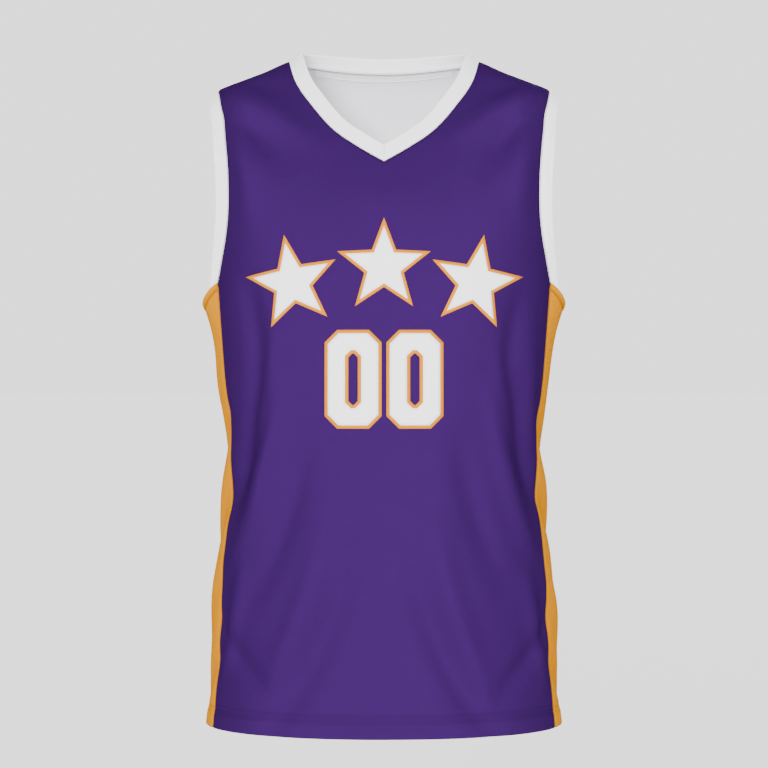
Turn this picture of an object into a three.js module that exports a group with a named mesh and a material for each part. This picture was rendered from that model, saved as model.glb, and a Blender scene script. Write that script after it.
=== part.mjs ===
// A sleeveless V-neck basketball jersey, hollow and standing in the round as if worn.
// Millimetres. +X is the wearer's left, the front faces -Y, +Z is up.
// The origin lies midway between the shoulders, on the line of the shoulder seams.
import * as THREE from "three";

const HEM_Z = -717; // level of the bottom edge
const CHEST_Z = -234; // level of the corners where side panels, bands and body panels meet
const SHOULDER_TIP_X = 184.5; // half the distance across the shoulders
const NECK_POINT_X = 106; // where the neckline crosses the shoulder seam
const WALL = 1.8; // thickness of the cloth walls
const BAND_WALL = 2.2; // thickness of the doubled rib bands
const BAND_OVER = (BAND_WALL - WALL) / 2; // how far a band stands proud of the cloth at its seam
const TAPE_WALL = 1.0; // thickness of the tape inside the back neck
const SEAM_HALF_GAP = 0.15; // each piece stops this far short of a seam line
const NECK_BAND_WIDTH = 17;
const TAPE_WIDTH = 9;
const UNDERARM_DIP = 25; // how far a side panel's top edge dips between its corners
const UNDERARM_FLARE = 15; // how far it stands out sideways there
const FLARE_FADE = 38; // drop over which the flare dies away

const BODY_ROWS = 18; // from the hem to the chest
const CHEST_ROWS = 11; // from the chest over to the shoulder
const NECK_COLUMNS = 8; // from the centre to the neck point
const NECK_CROWDING = 1.5; // above 1, columns stand closer towards the neck points
const STEEPEST_ROWS = 7; // the higher, the closer to the neckline its rows begin to bend to it
const SHOULDER_COLUMNS = 5; // from the neck point to the shoulder tip
const TAPE_COLUMNS = 5; // from the centre to the end of the neck tape
const SIDE_COLUMNS = 10; // across a side panel
const BAND_END = 1 - 2 / SIDE_COLUMNS; // where the armhole bands end on its top edge, 1 at a corner

const PURPLE = 0x4a3179;
const GOLD = 0xf3a914;
const WHITE = 0xebeaef;

// Level sections of the body. front and back are depths from the shoulder line, widest is how far
// forward the section is widest, sideHalf is half a side panel, and the square columns are the
// exponents of the section's corners.
const SECTIONS = [
  { z: -717, halfWidth: 196, front: 168, back: 120, widest: 28.4, sideHalf: 52, frontSquare: 2.2, backSquare: 2.4 },
  { z: -640, halfWidth: 191, front: 165, back: 122, widest: 25.5, sideHalf: 53.5, frontSquare: 2.2, backSquare: 2.4 },
  { z: -540, halfWidth: 185, front: 163, back: 121.5, widest: 22, sideHalf: 53.5, frontSquare: 2.2, backSquare: 2.5 },
  { z: -428, halfWidth: 175, front: 158.5, back: 121, widest: 17.3, sideHalf: 51.5, frontSquare: 2.2, backSquare: 2.7 },
  { z: -330, halfWidth: 182, front: 155, back: 121, widest: 14, sideHalf: 50.5, frontSquare: 2.35, backSquare: 3.2 },
  { z: -234, halfWidth: 187, front: 150, back: 119, widest: 10.6, sideHalf: 49.5, frontSquare: 2.6, backSquare: 4 },
];

// How high each sheet would reach over the shoulder line, by distance x from the centre.
const SHOULDER_LINE = [
  { x: 0, front: 12, back: 24 },
  { x: 40, front: 15, back: 23 },
  { x: 70, front: 18.9, back: 21.2 },
  { x: 92, front: 17.4, back: 18.4 },
  { x: 106, front: 15, back: 15 },
  { x: 118, front: 9.8, back: 9.8 },
  { x: 132, front: 2.8, back: 2.8 },
  { x: 160, front: -9.5, back: -9.5 },
  { x: 184.5, front: -18.5, back: -18.5 },
  { x: 210, front: -27, back: -27 },
];

// How full the upward arch of each sheet is, as an exponent: 2 is an ellipse, more is squarer.
const FULLNESS = [
  { x: 0, front: 1.7, back: 2.3 },
  { x: 60, front: 1.63, back: 2.32 },
  { x: 100, front: 1.75, back: 2.39 },
  { x: 120, front: 1.96, back: 2.56 },
  { x: 135, front: 2.27, back: 2.84 },
  { x: 150, front: 2.78, back: 3.3 },
  { x: 165, front: 3.28, back: 3.71 },
  { x: 190, front: 4.2, back: 4.3 },
  { x: 210, front: 4.3, back: 4.4 },
];

// The neckline's level on each sheet, by distance x from the centre.
const NECKLINE = [
  { x: 0, front: -107, back: 8 },
  { x: 28, front: -90, back: 8.8 },
  { x: 56, front: -69, back: 10.8 },
  { x: 80, front: -40, back: 13 },
  { x: 97.5, front: -12, back: 14.4 },
  { x: 106, front: 15, back: 15 },
];

// The armhole edges of the front and back panels: half width by share of the arch climbed.
const ARMHOLE = [
  { climb: 0, front: 182, back: 186 },
  { climb: 0.07, front: 177, back: 183 },
  { climb: 0.14, front: 172, back: 179.5 },
  { climb: 0.22, front: 169, back: 177 },
  { climb: 0.33, front: 169.5, back: 176 },
  { climb: 0.4, front: 172, back: 177.5 },
  { climb: 0.47, front: 176, back: 180 },
  { climb: 0.55, front: 179.5, back: 182.5 },
  { climb: 0.68, front: 183.5, back: 184.2 },
  { climb: 1, front: 184.5, back: 184.5 },
];

// How the neck band leans up off the sheets, in degrees: at 0 is the V, 1 the neck point and
// 2 the centre back.
const NECK_LEAN = [
  { at: 0, lean: 0 },
  { at: 0.5, lean: 4 },
  { at: 0.85, lean: 14 },
  { at: 1, lean: 22 },
  { at: 1.4, lean: 32 },
  { at: 2, lean: 36 },
];

// The armhole band's lean and width: at 0 is the front corner, 1 the shoulder, 2 the back corner.
const ARMHOLE_BAND = [
  { at: 0, lean: 20, width: 15 },
  { at: 0.25, lean: 30, width: 15 },
  { at: 0.5, lean: 28, width: 15 },
  { at: 0.68, lean: 5, width: 14 },
  { at: 0.82, lean: -35, width: 11.5 },
  { at: 0.92, lean: -68, width: 8.5 },
  { at: 1, lean: -80, width: 7 },
  { at: 1.08, lean: -68, width: 8.5 },
  { at: 1.18, lean: -35, width: 11.5 },
  { at: 1.32, lean: 5, width: 14 },
  { at: 1.5, lean: 30, width: 15 },
  { at: 1.75, lean: 32, width: 15 },
  { at: 2, lean: 20, width: 15 },
];

// The largest folds, each a soft ridge (rise above 0) or trough (below 0) along a line. across is
// x on the front and back, and y on a side; width is the half width of the swell.
const FOLDS = [
  { on: "front", across: -167, z: -36, toAcross: -108, toZ: -100, width: 24, rise: -3 },
  { on: "front", across: 167, z: -36, toAcross: 110, toZ: -104, width: 24, rise: -3 },
  { on: "front", across: -120, z: -345, toAcross: -164, toZ: -545, width: 22, rise: 4 },
  { on: "front", across: 122, z: -350, toAcross: 160, toZ: -535, width: 22, rise: 4 },
  { on: "front", across: -150, z: -350, toAcross: -160, toZ: -475, width: 20, rise: -6 },
  { on: "front", across: 152, z: -360, toAcross: 160, toZ: -465, width: 20, rise: -6 },
  { on: "front", across: -95, z: -560, toAcross: -150, toZ: -690, width: 30, rise: 3 },
  { on: "front", across: 60, z: -600, toAcross: 120, toZ: -700, width: 32, rise: 3.5 },
  { on: "front", across: -40, z: -640, toAcross: 70, toZ: -655, width: 30, rise: -3 },
  { on: "back", across: -135, z: -385, toAcross: -155, toZ: -500, width: 22, rise: -6 },
  { on: "back", across: 132, z: -380, toAcross: 150, toZ: -490, width: 22, rise: -5 },
  { on: "back", across: -112, z: -370, toAcross: -130, toZ: -520, width: 22, rise: 3.5 },
  { on: "back", across: 112, z: -360, toAcross: 126, toZ: -510, width: 22, rise: 3 },
  { on: "back", across: -90, z: -655, toAcross: 110, toZ: -668, width: 28, rise: -4 },
  { on: "right", across: -60, z: -375, toAcross: 10, toZ: -475, width: 18, rise: -4 },
  { on: "right", across: -66, z: -465, toAcross: 18, toZ: -595, width: 20, rise: -4.5 },
  { on: "right", across: -72, z: -640, toAcross: -20, toZ: -700, width: 20, rise: -3 },
  { on: "left", across: -58, z: -370, toAcross: 8, toZ: -468, width: 18, rise: -4 },
  { on: "left", across: -64, z: -470, toAcross: 16, toZ: -590, width: 20, rise: -4.5 },
  { on: "left", across: -70, z: -645, toAcross: -22, toZ: -702, width: 20, rise: -3 },
];

// A value read from a table's column at a place along its key, on a smooth curve through the rows.
function read(table, key, column, at) {
  const last = table.length - 1;
  const place = THREE.MathUtils.clamp(at, table[0][key], table[last][key]);
  let i = 0;
  while (i < last - 1 && table[i + 1][key] < place) i++;
  const slope = (k) => {
    const low = table[Math.max(k - 1, 0)];
    const high = table[Math.min(k + 1, last)];
    return (high[column] - low[column]) / (high[key] - low[key]);
  };
  const a = table[i];
  const b = table[i + 1];
  const step = b[key] - a[key];
  const t = (place - a[key]) / step;
  const rest = 1 - t;
  return (
    a[column] * rest * rest * (1 + 2 * t) +
    b[column] * t * t * (3 - 2 * t) +
    step * t * rest * (rest * slope(i) - t * slope(i + 1))
  );
}

function sectionAt(z) {
  const level = Math.min(z, CHEST_Z);
  const section = {};
  for (const column of Object.keys(SECTIONS[0]))
    if (column !== "z") section[column] = read(SECTIONS, "z", column, level);
  return section;
}

const superellipse = (share, power) =>
  Math.pow(Math.max(1 - Math.pow(Math.abs(share), power), 0), 1 / power);

// Depth of the front (face -1) or back (face 1) sheet off the shoulder line, at x in a section.
function depthAt(face, x, s) {
  const share = x / s.halfWidth;
  return face < 0
    ? s.widest + (s.front - s.widest) * superellipse(share, s.frontSquare)
    : -s.widest + (s.back + s.widest) * superellipse(share, s.backSquare);
}

const column = (face) => (face < 0 ? "front" : "back");
const archHeight = (face, x) => read(SHOULDER_LINE, "x", column(face), Math.abs(x)) - CHEST_Z;

// A point of the front or back sheet. climb runs from -1 at the hem to 0 at the chest, by height,
// and on to 1 at the shoulder line, by the angle turned round the arch.
function sheetPoint(face, x, climb) {
  const z = CHEST_Z + Math.min(climb, 0) * (CHEST_Z - HEM_Z);
  const depth = depthAt(face, x, sectionAt(z));
  if (climb <= 0) return new THREE.Vector3(x, face * depth, z);
  const power = read(FULLNESS, "x", column(face), Math.abs(x));
  const angle = (climb * Math.PI) / 2;
  const size = Math.pow(
    Math.pow(Math.sin(angle), power) + Math.pow(Math.abs(Math.cos(angle)), power),
    1 / power,
  );
  const height = (archHeight(face, x) * Math.sin(angle)) / size;
  return new THREE.Vector3(x, (face * depth * Math.cos(angle)) / size, CHEST_Z + height);
}

// The climb at which a sheet passes through level z at x.
function climbAt(face, x, z) {
  if (z <= CHEST_Z) return (z - CHEST_Z) / (CHEST_Z - HEM_Z);
  const share = Math.min((z - CHEST_Z) / archHeight(face, x), 1);
  const power = read(FULLNESS, "x", column(face), Math.abs(x));
  return Math.atan2(share, superellipse(share, power)) / (Math.PI / 2);
}

// A point of the left (side 1) or right (side -1) of the body's tube, at depth y and level z.
function sidePoint(side, y, z) {
  const s = sectionAt(z);
  const off = y + s.widest;
  const x =
    off < 0
      ? superellipse(off / (s.front - s.widest), s.frontSquare)
      : superellipse(off / (s.back + s.widest), s.backSquare);
  return new THREE.Vector3(side * s.halfWidth * x, y, z);
}

// Outward normal of a surface function of two parameters, from small steps along each.
function normalOf(surface, u, v, outward) {
  const step = 1e-4;
  const along = surface(u + step, v).sub(surface(u - step, v)).normalize();
  const up = surface(u, v + step).sub(surface(u, v - step)).normalize();
  const normal = along.cross(up).normalize();
  return normal.dot(outward) < 0 ? normal.negate() : normal;
}

const sheet = (face) => (x, climb) => sheetPoint(face, x * SHOULDER_TIP_X, climb);
const flank = (side) => (y, z) => sidePoint(side, y * SHOULDER_TIP_X, z * SHOULDER_TIP_X);

// The point and outward normal of each surface, before its folds.
function onSheet(face, x, climb) {
  const point = sheetPoint(face, x, climb);
  const outward = new THREE.Vector3(0, face * 0.6, climb > 0.3 ? 1 : 0.01);
  return { point, normal: normalOf(sheet(face), x / SHOULDER_TIP_X, climb, outward) };
}

function onFlank(side, y, z) {
  const point = sidePoint(side, y, z);
  const outward = new THREE.Vector3(side, 0, 0);
  const normal = normalOf(flank(side), y / SHOULDER_TIP_X, z / SHOULDER_TIP_X, outward);
  return { point, normal };
}

function foldEnd(on, across, z) {
  if (on === "left" || on === "right") return sidePoint(on === "left" ? 1 : -1, across, z);
  const face = on === "front" ? -1 : 1;
  return sheetPoint(face, across, climbAt(face, across, z));
}

const FOLD_LINES = FOLDS.map((fold) => ({
  line: new THREE.Line3(
    foldEnd(fold.on, fold.across, fold.z),
    foldEnd(fold.on, fold.toAcross, fold.toZ),
  ),
  width: fold.width,
  rise: fold.rise,
}));

// How far the folds lift the cloth at a point: each is a bell across its line, fading to the ends.
function foldRise(point) {
  const nearest = new THREE.Vector3();
  let rise = 0;
  for (const fold of FOLD_LINES) {
    const share = fold.line.closestPointToPointParameter(point, true);
    fold.line.at(share, nearest);
    const away = nearest.distanceTo(point) / fold.width;
    rise += fold.rise * Math.exp(-away * away) * (1 - 0.6 * (2 * share - 1) ** 2);
  }
  return rise;
}

// A place on the cloth: its outer point with the folds, and the normal that the wall is laid along.
function clothAt(base, standOut = 0) {
  const point = base.point.clone().addScaledVector(base.normal, foldRise(base.point));
  point.x += Math.sign(base.point.x) * standOut;
  return { point, normal: base.normal };
}

// The half width and depth, in the section's own polar angle, of a share of the way to its edge.
function polarShare(share, section) {
  const seam = section.sideHalf / (section.front - section.widest);
  const edgeAngle = Math.atan2(superellipse(seam, section.frontSquare), seam);
  const reach = (angle) =>
    Math.sin(angle) /
    Math.pow(
      Math.pow(Math.sin(angle), section.frontSquare) +
        Math.pow(Math.cos(angle), section.frontSquare),
      1 / section.frontSquare,
    );
  return (Math.sign(share) * reach(edgeAngle * Math.abs(share))) / reach(edgeAngle);
}

// Half width of a body panel's edge at its side seam, at level z.
function seamX(face, z) {
  const s = sectionAt(z);
  return Math.abs(sidePoint(1, -s.widest + face * s.sideHalf, z).x);
}

// The front or back panel as a grid of places, rows from the hem to the shoulder and neckline.
function panelGrid(face) {
  const shares = [];
  for (let j = 0; j <= NECK_COLUMNS; j++) {
    const x = NECK_POINT_X * (1 - (1 - j / NECK_COLUMNS) ** NECK_CROWDING);
    shares.push(x / SHOULDER_TIP_X);
  }
  for (let j = 1; j <= SHOULDER_COLUMNS; j++) {
    const x = NECK_POINT_X + ((SHOULDER_TIP_X - NECK_POINT_X) * j) / SHOULDER_COLUMNS;
    shares.push(x / SHOULDER_TIP_X);
  }
  const across = [...shares.slice(1).reverse().map((share) => -share), ...shares];
  const rows = [];
  for (let i = 0; i <= BODY_ROWS; i++) {
    const climb = i / BODY_ROWS - 1;
    const z = CHEST_Z + climb * (CHEST_Z - HEM_Z);
    const section = sectionAt(z);
    const edge = seamX(face, z);
    rows.push(
      across.map((share) => clothAt(onSheet(face, edge * polarShare(share, section), climb))),
    );
  }
  const chest = sectionAt(CHEST_Z);
  for (let i = 1; i <= CHEST_ROWS; i++) {
    const climb = i / CHEST_ROWS;
    const edge = read(ARMHOLE, "climb", column(face), climb);
    const level = climb * climb * (3 - 2 * climb);
    rows.push(
      across.map((share) => {
        const x = edge * THREE.MathUtils.lerp(polarShare(share, chest), share, level);
        const topX = Math.min(Math.abs(share) * SHOULDER_TIP_X, NECK_POINT_X);
        const isNeck = Math.abs(share) * SHOULDER_TIP_X < NECK_POINT_X - 0.01;
        const top = isNeck
          ? climbAt(face, topX, read(NECKLINE, "x", column(face), topX))
          : 1;
        const power = Math.min(Math.max(0.9 / Math.max(1 - top, 0.01), 1), STEEPEST_ROWS);
        return clothAt(onSheet(face, x, climb - (1 - top) * climb ** power));
      }),
    );
  }
  return rows;
}

// A place on a side panel: across runs from -1 at the front seam to 1 at the back seam, and fade is
// how much of the top edge's dip the row takes.
function sidePlace(side, across, z, fade) {
  const bow = 1 - across * across;
  const level = z - UNDERARM_DIP * bow * fade;
  const s = sectionAt(level);
  const drop = Math.max(CHEST_Z - UNDERARM_DIP * bow - level, 0);
  const flare = UNDERARM_FLARE * (1 - across ** 4) * Math.exp(-drop / FLARE_FADE);
  return clothAt(onFlank(side, -s.widest + across * s.sideHalf, level), flare);
}

function sideGrid(side) {
  const rows = [];
  for (let i = 0; i <= BODY_ROWS; i++) {
    const share = i / BODY_ROWS;
    const z = HEM_Z + share * (CHEST_Z - HEM_Z);
    const fade = THREE.MathUtils.smoothstep(share, 0.6, 1);
    const row = [];
    for (let j = 0; j <= SIDE_COLUMNS; j++)
      row.push(sidePlace(side, (2 * j) / SIDE_COLUMNS - 1, z, fade));
    rows.push(row);
  }
  return rows;
}

// Moves a grid's edge points a little towards their neighbours inside, so that it stops at the seam.
function pulledIn(rows, amount, round) {
  const moved = rows.map((row) => row.map((point) => point.clone()));
  const toward = (point, from, to) =>
    point.addScaledVector(to.clone().sub(from).normalize(), amount);
  const last = rows.length - 1;
  const end = rows[0].length - 1;
  for (let j = 0; j <= end; j++) {
    toward(moved[0][j], rows[0][j], rows[1][j]);
    toward(moved[last][j], rows[last][j], rows[last - 1][j]);
  }
  if (!round)
    for (let i = 0; i <= last; i++) {
      toward(moved[i][0], rows[i][0], rows[i][1]);
      toward(moved[i][end], rows[i][end], rows[i][end - 1]);
    }
  return moved;
}

// One closed body between two grids of points, with a rim round its edges. A round grid closes on
// its first column. The faces are turned to point outwards.
function closedBody(name, outer, inner, color, round = false) {
  const height = outer.length;
  const width = outer[0].length;
  const points = [...outer.flat(), ...inner.flat()];
  const under = height * width;
  const faces = [];
  const quad = (a, b, c, d) => faces.push(a, b, c, a, c, d);
  const at = (i, j) => i * width + (j % width);
  const columns = round ? width : width - 1;
  for (let i = 0; i < height - 1; i++)
    for (let j = 0; j < columns; j++) {
      quad(at(i, j), at(i, j + 1), at(i + 1, j + 1), at(i + 1, j));
      quad(
        under + at(i, j), under + at(i + 1, j), under + at(i + 1, j + 1), under + at(i, j + 1),
      );
    }
  for (let j = 0; j < columns; j++) {
    const top = height - 1;
    quad(at(0, j), under + at(0, j), under + at(0, j + 1), at(0, j + 1));
    quad(at(top, j), at(top, j + 1), under + at(top, j + 1), under + at(top, j));
  }
  if (!round)
    for (let i = 0; i < height - 1; i++) {
      const end = width - 1;
      quad(at(i, 0), at(i + 1, 0), under + at(i + 1, 0), under + at(i, 0));
      quad(at(i, end), under + at(i, end), under + at(i + 1, end), at(i + 1, end));
    }
  let volume = 0;
  for (let k = 0; k < faces.length; k += 3) {
    const [a, b, c] = [points[faces[k]], points[faces[k + 1]], points[faces[k + 2]]];
    volume += a.dot(b.clone().cross(c));
  }
  if (volume < 0) faces.reverse();
  const geometry = new THREE.BufferGeometry().setFromPoints(points);
  geometry.setIndex(faces);
  geometry.computeVertexNormals();
  const material = new THREE.MeshStandardMaterial({ color, roughness: 0.8 });
  const mesh = new THREE.Mesh(geometry, material);
  mesh.name = name;
  return mesh;
}

// A piece cut from a grid of places, its wall laid inwards.
function clothPiece(name, grid, color, depth = 0, wall = WALL) {
  const layer = (off) =>
    grid.map((row) => row.map((at) => at.point.clone().addScaledVector(at.normal, -off)));
  const outer = pulledIn(layer(depth), SEAM_HALF_GAP, false);
  const inner = pulledIn(layer(depth + wall), SEAM_HALF_GAP, false);
  return closedBody(name, outer, inner, color);
}

// The ways out of a sewn edge at each of its places: along the cloth and square to the edge, with
// the mitre where the edge turns.
function waysOut(places, round, away) {
  const count = places.length;
  const square = (k, next) => {
    const along = places[next].point.clone().sub(places[k].point);
    const way = places[k].normal.clone().cross(along).normalize();
    return way.dot(away(places[k].point)) < 0 ? way.negate() : way;
  };
  return places.map((place, k) => {
    const before = round ? (k + count - 1) % count : Math.max(k - 1, 0);
    const after = round ? (k + 1) % count : Math.min(k + 1, count - 1);
    const first = before === k ? square(k, after) : square(before, k);
    const second = after === k ? square(before, k) : square(k, after);
    return first.clone().add(second).divideScalar(1 + first.dot(second));
  });
}

// A rib band sewn to an edge. Each place has its way out, its lean in degrees and its width. The
// band leaves the edge in line with the cloth and turns to its lean.
function bandRows(places, ways, leans, widths, shares) {
  const outerRows = [];
  const innerRows = [];
  for (const share of shares) {
    const outer = [];
    const inner = [];
    places.forEach((place, k) => {
      const reach = 2 * SEAM_HALF_GAP + share * widths[k];
      const turn = THREE.MathUtils.smoothstep(reach, 1.2, 6);
      const angle = THREE.MathUtils.degToRad(leans[k]) * turn;
      const normal = place.normal;
      const point = place.point
        .clone()
        .addScaledVector(ways[k], reach * Math.cos(angle))
        .addScaledVector(normal, reach * Math.sin(angle));
      const face = normal
        .clone()
        .multiplyScalar(Math.cos(angle))
        .addScaledVector(ways[k].clone().normalize(), -Math.sin(angle));
      outer.push(point.clone().addScaledVector(face, BAND_OVER));
      inner.push(point.clone().addScaledVector(face, BAND_OVER - BAND_WALL));
    });
    outerRows.push(outer);
    innerRows.push(inner);
  }
  return [outerRows, innerRows];
}

const frontGrid = panelGrid(-1);
const backGrid = panelGrid(1);
const CENTRE = NECK_COLUMNS + SHOULDER_COLUMNS;
const top = frontGrid.length - 1;

function neckBand() {
  const places = [];
  const around = [];
  for (let j = -NECK_COLUMNS; j <= NECK_COLUMNS; j++) {
    places.push(frontGrid[top][CENTRE + j]);
    around.push(Math.abs(j) / NECK_COLUMNS);
  }
  for (let j = NECK_COLUMNS - 1; j > -NECK_COLUMNS; j--) {
    places.push(backGrid[top][CENTRE + j]);
    around.push(2 - Math.abs(j) / NECK_COLUMNS);
  }
  const away = (point) => new THREE.Vector3(-point.x, -point.y - 40, 60);
  const ways = waysOut(places, true, away);
  const leans = around.map((at) => read(NECK_LEAN, "at", "lean", at));
  const widths = places.map(() => NECK_BAND_WIDTH);
  const [outer, inner] = bandRows(places, ways, leans, widths, [0, 0.2, 0.5, 1]);
  const gap = SEAM_HALF_GAP;
  return closedBody("neck_band", pulledIn(outer, gap, true), pulledIn(inner, gap, true), WHITE, true);
}

function armholeBand(name, side) {
  const edge = side * CENTRE + CENTRE;
  const places = [];
  for (let i = BODY_ROWS; i <= top; i++) places.push(frontGrid[i][edge]);
  for (let i = top - 1; i >= BODY_ROWS; i--) places.push(backGrid[i][edge]);
  const hole = new THREE.Vector3(side * (SHOULDER_TIP_X + 60), 0, CHEST_Z / 2);
  const away = (point) => hole.clone().sub(point);
  const ways = waysOut(places, false, away);
  const last = places.length - 1;
  const around = places.map((_, k) => (2 * k) / last);
  const leans = around.map((at) => read(ARMHOLE_BAND, "at", "lean", at));
  const widths = around.map((at) => read(ARMHOLE_BAND, "at", "width", at));
  const shares = [0, 0.25, 0.6, 1];
  const [outer, inner] = bandRows(places, ways, leans, widths, shares);
  // Each end of the band lies along the top edge of the side panel, from its corner inwards.
  for (const [k, seam] of [[0, -1], [last, 1]]) {
    const corner = sidePlace(side, seam, CHEST_Z, 1);
    const end = sidePlace(side, seam * BAND_END, CHEST_Z, 1);
    const offCorner = (2 * SEAM_HALF_GAP) / corner.point.distanceTo(end.point);
    shares.forEach((share, row) => {
      const along = THREE.MathUtils.lerp(offCorner, 1, share);
      const point = corner.point.clone().lerp(end.point, along);
      const normal = corner.normal.clone().lerp(end.normal, along);
      outer[row][k].copy(point).addScaledVector(normal, BAND_OVER);
      inner[row][k].copy(point).addScaledVector(normal, BAND_OVER - BAND_WALL);
    });
  }
  return closedBody(
    name, pulledIn(outer, SEAM_HALF_GAP, false), pulledIn(inner, SEAM_HALF_GAP, false), WHITE,
  );
}

// The tape that covers the back neck seam inside. It is laid out on the back panel's top rows, a
// little below the neckline.
function neckTape() {
  const rows = [TAPE_WIDTH + 1.5, TAPE_WIDTH / 2 + 1.5, 1.5].map((below) => {
    const row = [];
    for (let j = -TAPE_COLUMNS; j <= TAPE_COLUMNS; j++) {
      const high = backGrid[top][CENTRE + j];
      const low = backGrid[top - 1][CENTRE + j];
      const share = below / high.point.distanceTo(low.point);
      row.push({
        point: high.point.clone().lerp(low.point, share),
        normal: high.normal.clone().lerp(low.normal, share),
      });
    }
    return row;
  });
  return clothPiece("neck_tape", rows, WHITE, WALL + 6 * SEAM_HALF_GAP, TAPE_WALL);
}

const jersey = new THREE.Group();
jersey.name = "basketball_jersey";
jersey.add(
  clothPiece("front_panel", frontGrid, PURPLE),
  clothPiece("back_panel", backGrid, PURPLE),
  clothPiece("side_panel_left", sideGrid(1), GOLD),
  clothPiece("side_panel_right", sideGrid(-1), GOLD),
  neckBand(),
  armholeBand("armhole_band_left", 1),
  armholeBand("armhole_band_right", -1),
  neckTape(),
);

export default jersey;
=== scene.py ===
"""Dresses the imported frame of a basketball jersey: knit panels with their folds, rib bands, twill
numbers and stars, stitching, and a plain studio. Sizes in the tables are millimetres."""

import math
from functools import partial

import bpy
import numpy as np
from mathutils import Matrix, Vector


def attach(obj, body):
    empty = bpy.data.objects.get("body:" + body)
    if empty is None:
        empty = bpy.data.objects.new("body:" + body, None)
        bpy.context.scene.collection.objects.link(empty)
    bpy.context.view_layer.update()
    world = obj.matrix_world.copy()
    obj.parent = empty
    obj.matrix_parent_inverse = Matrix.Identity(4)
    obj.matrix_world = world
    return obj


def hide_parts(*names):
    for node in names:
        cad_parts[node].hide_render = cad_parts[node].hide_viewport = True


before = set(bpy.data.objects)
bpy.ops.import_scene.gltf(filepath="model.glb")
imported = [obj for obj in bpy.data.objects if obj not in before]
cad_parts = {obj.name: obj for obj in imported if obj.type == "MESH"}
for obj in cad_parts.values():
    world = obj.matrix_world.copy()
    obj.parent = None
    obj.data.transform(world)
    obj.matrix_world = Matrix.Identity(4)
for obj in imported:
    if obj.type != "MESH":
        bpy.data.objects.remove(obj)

bl_info = {
    "name": "Basketball Jersey",
    "version": (1, 0, 0),
    "blender": (4, 5, 0),
    "location": "3D View > Sidebar > Jersey",
    "description": "Makes a sleeveless V-neck basketball jersey, piece by piece",
    "category": "Object",
}

MM = 0.001

HEM_Z = -717.0
CHEST_Z = -234.0
SHOULDER_TIP_X = 184.5
NECK_POINT_X = 106.0
UNDERARM_DIP = 25.0
UNDERARM_FLARE = 15.0
FLARE_FADE = 38.0
NECK_CROWDING = 1.5
STEEPEST_ROWS = 7
BAND_START = 0.2  # a rib band's first station stands this far off its seam
BAND_SINK = 0.9  # and its middle this far below the cloth's face
HEM_ROWS = (17.5, 23.0)  # heights of the hem's two rows of stitches over its edge
SEAM_PAINTED_SHADE = 0.5  # painted shade in a seam's groove, with its darker thread: how much darker the cloth is there
HEM_PAINTED_SHADE = 0.22  # and the painted shade in the hem's grooved rows of stitches
TURNED_EDGE = 6.8  # from a side panel's top edge down to the row that holds its turned edge
PANEL_GRID = (96, 60, 48, 26)  # rows of body and chest, columns of neck and shoulder
HEM_GRID = (96, 2, 24, 10)  # the same, for the hem's stitches
FLANK_GRID = (110, 36)  # rows and columns of a side panel
NECK_STATIONS = (161, 90)  # round the front and the back of the neck
ARMHOLE_STATIONS = 70  # along each half of an armhole
TAPE_HALF_LENGTH = 79.0


def table(columns, *rows):
    """A table with named columns, as one array for each."""
    return dict(zip(columns.split(), np.array(rows, float).T))


# Level sections of the body: depths from the shoulder line, how far forward the section is widest,
# half a side panel, and the exponents of the section's corners.
SECTIONS = table(
    "z half_width front back widest side_half front_square back_square",
    (-717, 196, 168, 120, 28.4, 52, 2.2, 2.4),
    (-640, 191, 165, 122, 25.5, 53.5, 2.2, 2.4),
    (-540, 185, 163, 121.5, 22, 53.5, 2.2, 2.5),
    (-428, 175, 158.5, 121, 17.3, 51.5, 2.2, 2.7),
    (-330, 182, 155, 121, 14, 50.5, 2.35, 3.2),
    (-234, 187, 150, 119, 10.6, 49.5, 2.6, 4),
)

# How high each sheet would reach over the shoulder line, by distance x from the centre.
SHOULDER_LINE = table(
    "x front back",
    (0, 12, 24),
    (40, 15, 23),
    (70, 18.9, 21.2),
    (92, 17.4, 18.4),
    (106, 15, 15),
    (118, 9.8, 9.8),
    (132, 2.8, 2.8),
    (160, -9.5, -9.5),
    (184.5, -18.5, -18.5),
    (210, -27, -27),
)

# How full the upward arch of each sheet is, as an exponent.
FULLNESS = table(
    "x front back",
    (0, 1.7, 2.3),
    (60, 1.63, 2.32),
    (100, 1.75, 2.39),
    (120, 1.96, 2.56),
    (135, 2.27, 2.84),
    (150, 2.78, 3.3),
    (165, 3.28, 3.71),
    (190, 4.2, 4.3),
    (210, 4.3, 4.4),
)

# The neckline's level on each sheet.
NECKLINE = table(
    "x front back",
    (0, -107, 8),
    (28, -90, 8.8),
    (56, -69, 10.8),
    (80, -40, 13),
    (97.5, -12, 14.4),
    (106, 15, 15),
)

# The armhole edges of the front and back panels: half width by share of the arch climbed.
ARMHOLE = table(
    "climb front back",
    (0, 182, 186),
    (0.07, 177, 183),
    (0.14, 172, 179.5),
    (0.22, 169, 177),
    (0.33, 169.5, 176),
    (0.4, 172, 177.5),
    (0.47, 176, 180),
    (0.55, 179.5, 182.5),
    (0.68, 183.5, 184.2),
    (1, 184.5, 184.5),
)

# The neck band's lean off the sheets in degrees: at 0 the V, 1 the neck point, 2 the centre back.
NECK_LEAN = table("at lean", (0, 0), (0.5, 4), (0.85, 14), (1, 22), (1.4, 32), (2, 36))

# The armhole band: at 0 the front corner, 1 the shoulder, 2 the back corner.
ARMHOLE_BAND = table(
    "at lean width",
    (0, 20, 15),
    (0.25, 30, 15),
    (0.5, 28, 15),
    (0.68, 5, 14),
    (0.82, -35, 11.5),
    (0.92, -68, 8.5),
    (1, -80, 7),
    (1.08, -68, 8.5),
    (1.18, -35, 11.5),
    (1.32, 5, 14),
    (1.5, 30, 15),
    (1.75, 32, 15),
    (2, 20, 15),
)

FRONT, BACK, RIGHT, LEFT = -1, 1, -2, 2

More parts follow.
